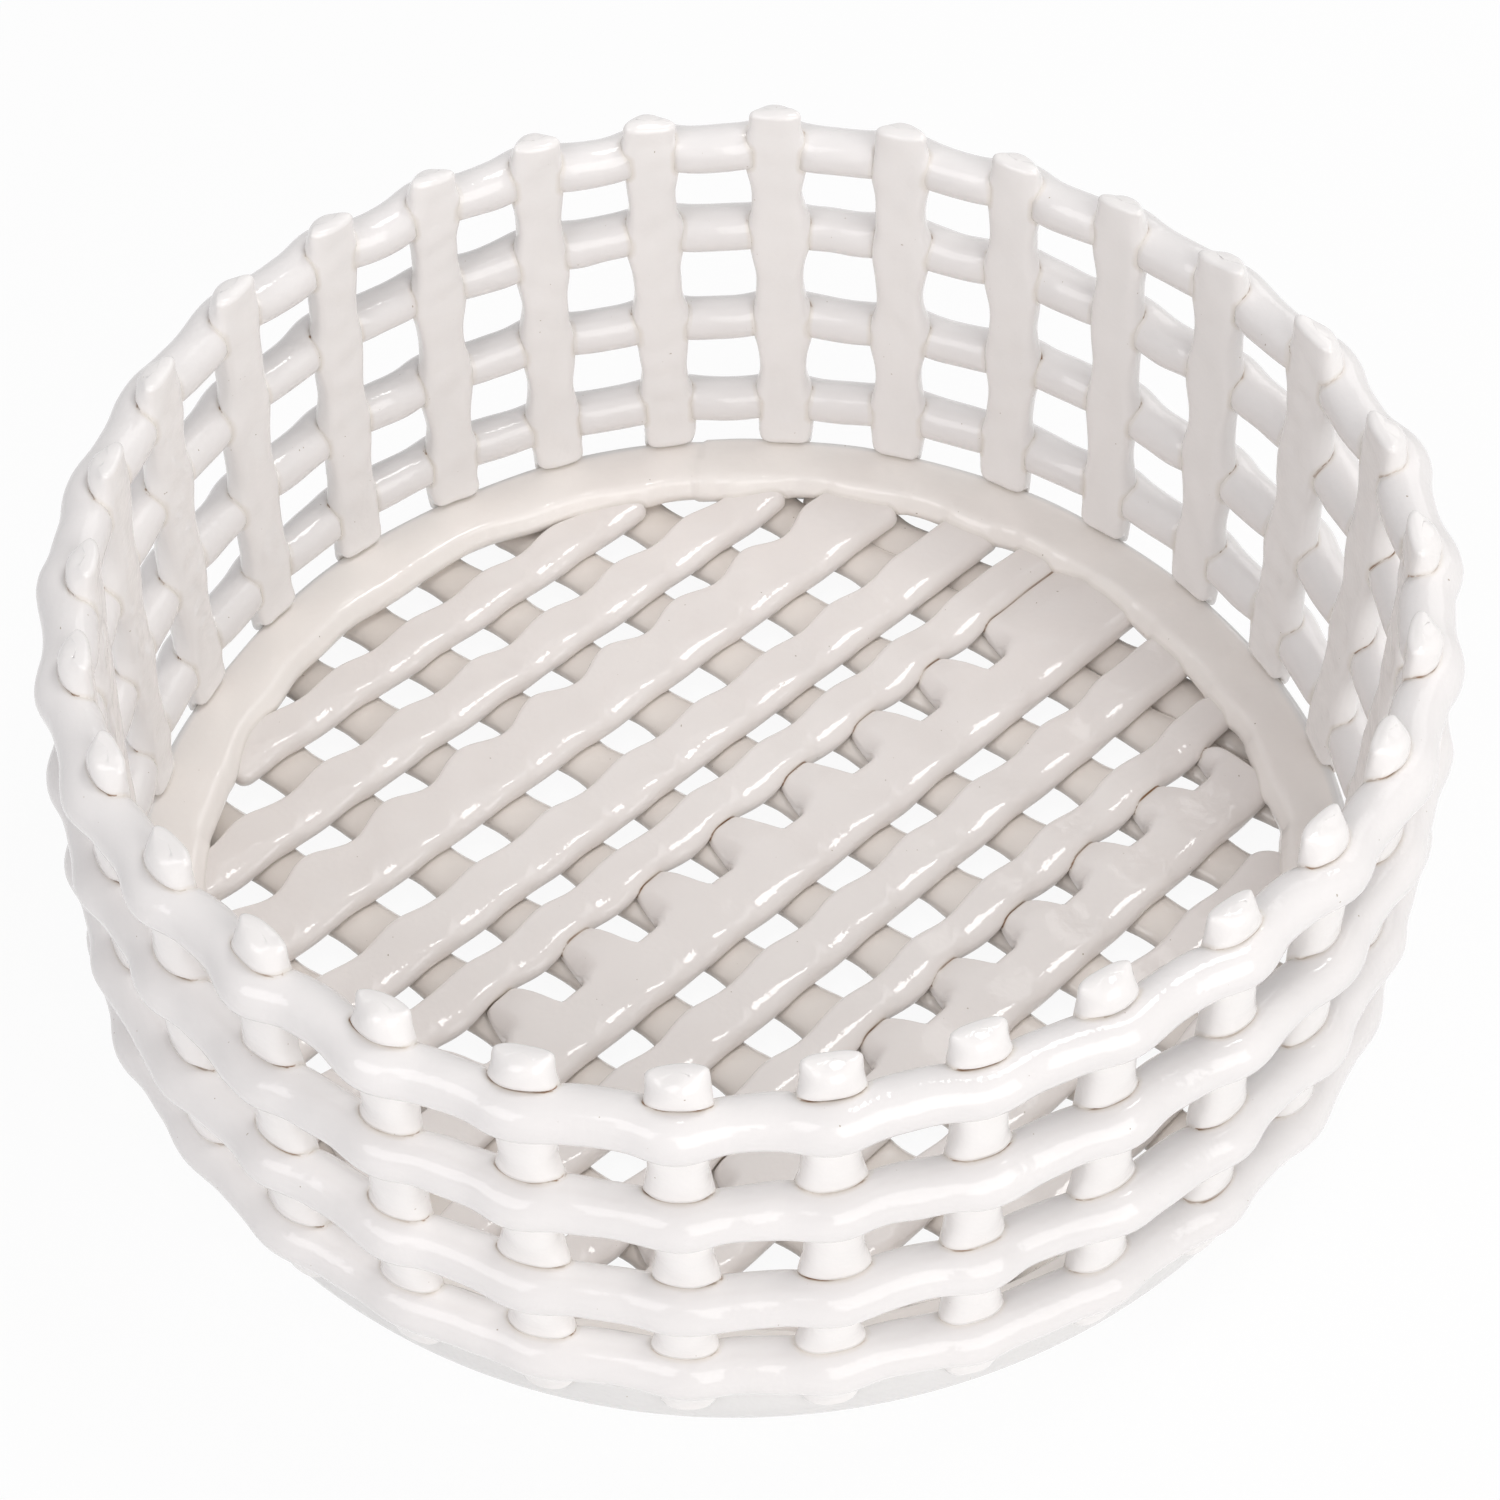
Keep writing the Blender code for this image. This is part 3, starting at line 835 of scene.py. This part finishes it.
coil = {
    "glaze": {"tone": (0.85, 0.79, 0.735), "toneThin": (0.87, 0.815, 0.765)},
    "width": 13.2 * mm,
    "thickness": 5.4 * mm,
    "bottom": 1.4 * mm,
    "square": 2.1,            # of its section; 2 is an ellipse
    "squeeze": 0.9 * mm,      # clay bulging up between two strips
    "spacing": 1.5 * mm,
    "around": 26,
    "endRound": 4.0 * mm,
    "reach": 134.3 * mm,      # of the ends, hidden in the base ring
    "besideLast": 12.0 * mm,  # one more short coil lies against the last one
    "widthUneven": (0.25 * mm, 30 * mm),
    "lineUneven": (0.5 * mm, 90 * mm),
    "marks": (0.12 * mm, 10 * mm),
    "seeds": {"width": 310, "line": 330, "marks": 350},
}


def coilLoops(index):
    middle, direction, _ = coilLines[min(index, len(coilLines) - 1)]
    if index == len(coilLines):  # against the last one, on the side away from the middle
        middle = middle + sideways(direction) * coil["besideLast"]
    marks = crossings((middle, direction), stripLines)
    off = abs(middle @ sideways(direction))
    half = math.sqrt(coil["reach"] ** 2 - (off + 0.3 * coil["width"]) ** 2)
    middle = middle - direction * (middle @ direction)
    s, drawn = roundedStations(-half, half, coil["spacing"], coil["endRound"])
    turn = np.linspace(0.0, math.tau, coil["around"], endpoint=False)
    x, y = (superCurve(part, 2 / coil["square"]) for part in (np.cos(turn), np.sin(turn)))
    uncovered = 0.5 - 0.5 * np.cos(math.tau * phase(s, marks))
    wide = coil["width"] / 2 - drawn + coil["squeeze"] * (uncovered - 0.3)
    wide = wide + wobble(coil["widthUneven"], s, coil["seeds"]["width"] + index)
    tall = coil["thickness"] / 2 - drawn * 0.4
    up = np.where(y > 0, 1.0, 0.0)[None] * coil["squeeze"] * uncovered[:, None]
    aside = wobble(coil["lineUneven"], s, coil["seeds"]["line"] + index)
    across = x[None] * wide[:, None] + aside[:, None]
    z = coil["bottom"] + coil["thickness"] / 2 + y[None] * (tall[:, None] + up)
    return layAlong(middle, direction, s, across, z)


strip = {  # lists run from the far left strip to the near right one
    "glaze": {"tone": (0.86, 0.81, 0.78), "toneThin": (0.88, 0.835, 0.805)},
    "tops": [w * mm for w in (10.6, 11.8, 15.4, 12.8, 11.2, 14.6, 11.8, 10.0, 13.6, 11.2, 11.0)],
    "lobes": [d * mm for d in (1.0, 1.6, 3.2, 1.0, 1.0, 12.0, 1.2, 1.0, 8.4, 1.0, 1.0)],
    "shifts": [v * mm for v in (1.6, 1.7, 1.7, -1.6, 2.2, 0.8, 0.1, 1.4, 3.6, 1.8, 1.8)],
    "thickness": 5.2 * mm,
    "sag": 0.6 * mm,          # of the underside between coils
    "lift": 0.7 * mm,         # rise over each coil
    # the far edge swells over a coil, or grows a tongue where its lobe is long
    "tongueFrom": (3 * mm, 7 * mm),
    "rise": (-0.36, -0.15),   # where along the coil pitch a tongue grows and ends again
    "fall": (0.15, 0.37),
    "flank": (-0.36, -0.05),  # where the soft left side of each tongue climbs
    "flankSinks": 0.92,
    "lobeDrop": 2.6 * mm,     # slope of a tongue down towards the next strip
    "farRoll": (1.7 * mm, 2.8 * mm),  # width and depth
    # near edge: width of its roll where narrow and where wide, and its depth
    "nearRoll": (2.6 * mm, 6.4 * mm, 3.4 * mm),
    "nearNarrows": (-0.36, 0.24),  # along the coil pitch
    "nearWidens": (0.30, 0.5),
    "nearIn": -0.4 * mm,
    "nearLift": (0.2 * mm, 1.4 * mm),  # its rise over a coil, and over a tongue beyond
    "arch": (0.0, 0.6 * mm, 1.2 * mm),  # its bend where the lobes beyond are this long:
    "archFor": (3 * mm, 4 * mm, 9 * mm),
    "archAt": 0.2,
    "deepest": (0.7, 0.6),    # share of the thickness for near and far roll, at most
    "underRoll": (1.6 * mm, 1.2 * mm),  # near and far
    "tuck": 2.5 * mm,         # how far the ends stop short under the base ring
    "corners": (3.0 * mm, 6.5 * mm),  # of the ends, near and far
    "endRound": 1.2 * mm,
    "spacing": 0.8 * mm,
    "swellUneven": (0.10, 30 * mm),
    "farUneven": (0.2 * mm, 22 * mm),
    "nearUneven": (0.2 * mm, 25 * mm),
    "crestUneven": (0.15 * mm, 35 * mm),
    "marks": (0.14 * mm, 14 * mm),
    "seeds": {"swell": 210, "far": 230, "near": 250, "crest": 270, "marks": 370},
}


def lobe(within, wide):
    # how far a strip's far edge is out, 0 to 1, as it passes a coil
    soft = 0.5 + 0.5 * np.cos(math.tau * (within - 0.04))
    sharp = smoothStep(*strip["rise"], within) * (1.0 - smoothStep(*strip["fall"], within))
    return soft + (sharp - soft) * wide


def cornerCut(corner, fromEnd):
    # how far a rounded corner draws the edge in, near the end of a strip
    return corner - np.sqrt(np.clip(corner**2 - np.clip(corner - fromEnd, 0, corner) ** 2, 0, None))


def stripSections(near, far, bottom, crest, nearWide, nearLift):
    # closed outline at each station: top, far edge, underside and near edge
    nearUnder, farUnder = strip["underRoll"]
    farWide, farDeep = strip["farRoll"]
    thick = crest - bottom
    nearDrop = np.minimum(strip["nearRoll"][2], thick * strip["deepest"][0])
    farDrop = np.minimum(farDeep, thick * strip["deepest"][1])
    flat = np.linspace(0.0, 1.0, 14)[1:-1][None]
    sparse = flat[:, ::2]
    turn, lowTurn = np.linspace(0.0, math.pi / 2, 8), np.linspace(0.0, math.pi / 2, 5)

    def rolled(turns):
        return (1 - np.cos(turns))[None], (1 - np.sin(turns))[None]

    farIn, farDown = rolled(turn[::-1])
    farLowIn, farLowUp = rolled(lowTurn[1:])
    nearLowIn, nearLowUp = rolled(lowTurn[::-1])
    nearIn, nearDown = rolled(turn[1:])
    v = [
        (near + nearWide) * (1 - flat) + (far - farWide) * flat,
        far - farWide * farIn,
        far - farUnder * farLowIn,
        (far - farUnder) * (1 - sparse) + (near + nearUnder) * sparse,
        near + nearUnder * nearLowIn,
        near + nearWide * nearIn,
    ]
    z = [
        crest * np.ones_like(flat),
        crest - farDrop * farDown,
        bottom + (thick - farDrop) * farLowUp,
        bottom * np.ones_like(sparse),
        bottom + nearLift + (thick - nearDrop - nearLift) * nearLowUp,
        crest - nearDrop * nearDown,
    ]
    return np.concatenate(v, 1), np.concatenate(z, 1)


def stripLoops(index):
    middle, direction, half = stripLines[index]
    top, depth, shift = (strip[key][index] for key in ("tops", "lobes", "shifts"))
    beyond = strip["lobes"][index + 1] if index + 1 < len(strip["lobes"]) else 0.0
    middle = middle + sideways(direction) * (shift + top / 2)
    half = half - strip["tuck"]
    s, drawn = roundedStations(-half, half, strip["spacing"], strip["endRound"])
    marks = crossings((middle, direction), coilLines)
    count = np.minimum(phase(s, marks), len(marks) - 0.95)  # another coil lies against the last
    within = (count + 0.5) % 1.0 - 0.5                      # 0 on a coil
    over = 0.5 + 0.5 * np.cos(math.tau * count)             # 1 on a coil
    wide = float(smoothStep(*strip["tongueFrom"], depth))

    def stray(name):
        return wobble(strip[name + "Uneven"], s, strip["seeds"][name] + index)

    # edges, drawn in at the rounded corners of both ends
    nearCut, farCut = (cornerCut(corner, half - np.abs(s)) for corner in strip["corners"])
    swell = lobe(within, wide) * (1.0 + stray("swell"))
    far = top / 2 + depth * swell - farCut + stray("far")
    arch = np.interp(beyond, strip["archFor"], strip["arch"])
    arch = arch * (0.5 + 0.5 * np.cos(math.tau * (count - strip["archAt"])))
    near = -top / 2 + arch + strip["nearIn"] + nearCut + stray("near")
    nearLift = strip["nearLift"][1 if beyond > 6 * mm else 0] * over
    nearNarrow, nearBroad, _ = strip["nearRoll"]
    narrow = (nearNarrow - nearBroad) * smoothStep(*strip["nearNarrows"], within)
    nearWide = nearBroad + narrow * (1.0 - smoothStep(*strip["nearWidens"], within))

    # heights: the strip rides over the coils and sags between them
    coilTop = coil["bottom"] + coil["thickness"]
    toCoil = (count - np.round(count)) * np.diff(marks).mean()
    rounded = np.sqrt(np.clip(1.0 - (toCoil / (coil["width"] / 2)) ** 2, 0.0, 1.0))
    onCoil = coil["bottom"] + coil["thickness"] / 2 * (1.0 + rounded)
    bottom = np.maximum(onCoil, coilTop - strip["sag"]) - 0.05 * mm
    crest = coilTop + strip["thickness"] + strip["lift"] * (over - 1.0)
    crest = crest + stray("crest") - drawn
    bottom = bottom + drawn
    columns = [part[:, None] for part in (near, far, bottom, crest, nearWide, nearLift)]
    v, z = stripSections(*columns)

    # tongues slope down towards the strip beyond
    past = np.clip((v - top / 2) / max(depth, mm), 0.0, 1.2)
    z = z - strip["lobeDrop"] * wide * past**2 * smoothStep(bottom[:, None], crest[:, None], z)
    low = coilTop - 0.4 * mm
    flank = (1.0 - smoothStep(*strip["flank"], within))[:, None]
    sunk = strip["flankSinks"] * (wide * smoothStep(0.0, 0.35, past) * flank)
    z = np.where(z > low, low + (z - low) * (1.0 - sunk), z)
    return layAlong(middle, direction, s, v, z)


joint = {
    "reach": 5 * mm,      # further from a neighbour counts as open surface
    # on a ring its line shows from this far above the middle to this far above the top
    "above": (1.5 * mm, 3 * mm),
    "outside": -0.5 * mm,  # beyond a stave's widest place
}


def surfaceTree(names):
    points, faces, offset = [], [], 0
    for name in names:
        mesh = pieces[name].data
        points += [vertex.co for vertex in mesh.vertices]
        faces += [[offset + i for i in polygon.vertices] for polygon in mesh.polygons]
        offset += len(mesh.vertices)
    return BVHTree.FromPolygons(points, faces)


def keepGaps(names, others, shows):
    # stores how near each point is to its neighbours, from 0 to 1, which the glaze paints as
    # contact shade and pooled glaze, and where that shows as a line
    tree = surfaceTree(others)
    for name in names:
        mesh = pieces[name].data
        gaps = np.ones(len(mesh.vertices))
        for i, vertex in enumerate(mesh.vertices):
            distance = tree.find_nearest(vertex.co, joint["reach"])[3]
            if distance is not None:
                gaps[i] = distance / joint["reach"]
        storeValues(mesh, "gap", gaps)
        storeValues(mesh, "seamAndShade", np.where(shows(meshArrays(mesh)[0]), gaps, 1.0))


def everywhere(points):
    return np.ones(len(points), bool)


def nowhere(points):
    return np.zeros(len(points), bool)


def outerUpper(points):
    # outside of the wall and above the middle of a ring, where glaze runs down into the joint
    start, end = joint["above"]
    reach = np.hypot(points[:, 0], points[:, 1])
    above = nowhere(points)
    for height in ringHeights:
        above |= (points[:, 2] > height + start) & (points[:, 2] < height + ringTube + end)
    return above & (reach > faceRadius(points[:, 2]) + stave["toSide"] + joint["outside"])


def findJoints():
    kinds = ("Stave", "Ring", "Base", "Coil", "Strip")
    staves, rings, bases, coils, strips = (
        [name for name in pieces if name.startswith("glazed" + kind)] for kind in kinds
    )
    keepGaps(staves, rings + bases, outerUpper)
    keepGaps(rings, staves, outerUpper)
    keepGaps(bases, staves + strips + coils, nowhere)
    keepGaps(coils, strips + bases, nowhere)
    # on the strips the line lies under their edges, where it is painted shadow in the slot
    for i, name in enumerate(strips):
        beside = strips[max(i - 1, 0):i] + strips[i + 1:i + 2]
        keepGaps([name], beside + coils, everywhere)
    print("joints found")


stage = {
    "size": 6.0,
    "below": 0.4 * mm,    # the sheet lies this far under the basket
    "tone": (0.88, 0.88, 0.88),
    "whiteShare": 0.93,   # how far the floor's shadow is lifted in plain view
    "skyTone": (0.99, 0.985, 1.0),
    "skyStrength": 0.37,
}


def plainView(nodes, links):
    # 1 for rays from the camera, mirror reflections and clear glass
    path = nodes.new("ShaderNodeLightPath")
    most = path.outputs["Is Camera Ray"]
    for output in ("Is Glossy Ray", "Is Transmission Ray"):
        either = nodes.new("ShaderNodeMath")
        either.operation = "MAXIMUM"
        links.new(most, either.inputs[0])
        links.new(path.outputs[output], either.inputs[1])
        most = either.outputs[0]
    return most


def emptied(owner):
    owner.use_nodes = True
    owner.node_tree.nodes.clear()
    return owner.node_tree.nodes, owner.node_tree.links


def blendInto(out, links, blend, share, first, second):
    for socket, source in zip(blend.inputs, (share, first.outputs[0], second.outputs[0])):
        links.new(source, socket)
    links.new(blend.outputs[0], out.inputs["Surface"])


def makeFloorSheet():
    bpy.ops.mesh.primitive_plane_add(size=stage["size"], location=(0.0, 0.0, -stage["below"]))
    sheet = bpy.context.object
    sheet.name = "studioFloor"
    paper = bpy.data.materials.new("studioPaper")
    nodes, links = emptied(paper)
    out, blend = nodes.new("ShaderNodeOutputMaterial"), nodes.new("ShaderNodeMixShader")
    plain = nodes.new("ShaderNodeBsdfDiffuse")
    plain.inputs["Color"].default_value = (*stage["tone"], 1.0)
    white = nodes.new("ShaderNodeEmission")
    white.inputs["Strength"].default_value = 1.0
    share = nodes.new("ShaderNodeMath")
    share.operation = "MULTIPLY"
    share.inputs[1].default_value = stage["whiteShare"]
    links.new(plainView(nodes, links), share.inputs[0])
    blendInto(out, links, blend, share.outputs[0], plain, white)
    sheet.data.materials.append(paper)
    print("floor sheet laid")


def makeSky():
    world = bpy.data.worlds.new("studioSky")
    bpy.context.scene.world = world
    nodes, links = emptied(world)
    out, blend = nodes.new("ShaderNodeOutputWorld"), nodes.new("ShaderNodeMixShader")
    soft = nodes.new("ShaderNodeBackground")
    soft.inputs["Color"].default_value = (*stage["skyTone"], 1.0)
    soft.inputs["Strength"].default_value = stage["skyStrength"]
    white = nodes.new("ShaderNodeBackground")
    white.inputs["Color"].default_value = (1.0, 1.0, 1.0, 1.0)
    blendInto(out, links, blend, plainView(nodes, links), soft, white)
    print("sky made")


lamps = {  # name: (turn and rise in degrees from the front, distance, size, watts, tone)
    "keyBox": (32.0, 26.0, 2.6, 2.2, 34.5, (1.0, 0.99, 0.98)),
    "leftBox": (-44.0, 40.0, 2.6, 1.55, 16.5, (1.0, 0.985, 1.0)),
    "topBox": (114.0, 69.0, 1.5, 0.4, 4.4, (1.0, 0.99, 0.98)),
    "backBox": (142.0, 38.0, 1.5, 0.9, 3.0, (1.0, 0.99, 0.98)),
}


def makeLamps():
    aim = Vector((0.0, 0.0, wallTop / 2))
    for name, (turn, rise, distance, size, watts, tone) in lamps.items():
        lamp = bpy.data.lights.new(name, "AREA")
        lamp.shape = "SQUARE"
        lamp.size = size
        lamp.energy = watts
        lamp.color = tone
        box = newObject(name, lamp)
        a, e = math.radians(turn), math.radians(rise)
        away = Vector((math.sin(a) * math.cos(e), -math.cos(a) * math.cos(e), math.sin(e)))
        box.location = aim + away * distance
        box.rotation_euler = away.to_track_quat("Z", "Y").to_euler()
    print("lamps lit:", len(lamps))


cameraView = {
    "rise": 48.8,             # degrees above the horizon
    "roll": -0.75,
    "distance": 682.0 * mm,   # from the point that it looks at
    "aim": (2.0 * mm, -58.5 * mm, wallTop - 0.1 * mm),
    "lens": 85.15,
    "sensor": 36.0,
}


def makeCamera():
    data = bpy.data.cameras.new("viewCamera")
    data.sensor_width = cameraView["sensor"]
    data.lens = cameraView["lens"]
    data.clip_start = 0.01
    camera = newObject("viewCamera", data)
    rise, roll = math.radians(cameraView["rise"]), math.radians(cameraView["roll"])
    back = Vector((0.0, -math.cos(rise), math.sin(rise)))
    level = Vector((1.0, 0.0, 0.0))
    up = back.cross(level)
    right = math.cos(roll) * level + math.sin(roll) * up
    over = -math.sin(roll) * level + math.cos(roll) * up
    place = Matrix((right, over, back)).transposed().to_4x4()
    place.translation = Vector(cameraView["aim"]) + back * cameraView["distance"]
    camera.matrix_world = place
    bpy.context.scene.camera = camera
    print("camera placed")


makeRow("stave", "stave", stave, staveNodes, staveLoops, dome=stave["dome"])
makeRow("ring", "wallRing", ringClay, ringNodes, ringLoops, ring=True)
makeBase()
makeRow("coil", "floorCoil", coil, coilNodes + [None], coilLoops)  # the last stands for no node
makeRow("strip", "floorStrip", strip, stripNodes, stripLoops)
findJoints()
makeFloorSheet()
makeSky()
makeLamps()
makeCamera()
bpy.context.scene.view_settings.view_transform = "Standard"
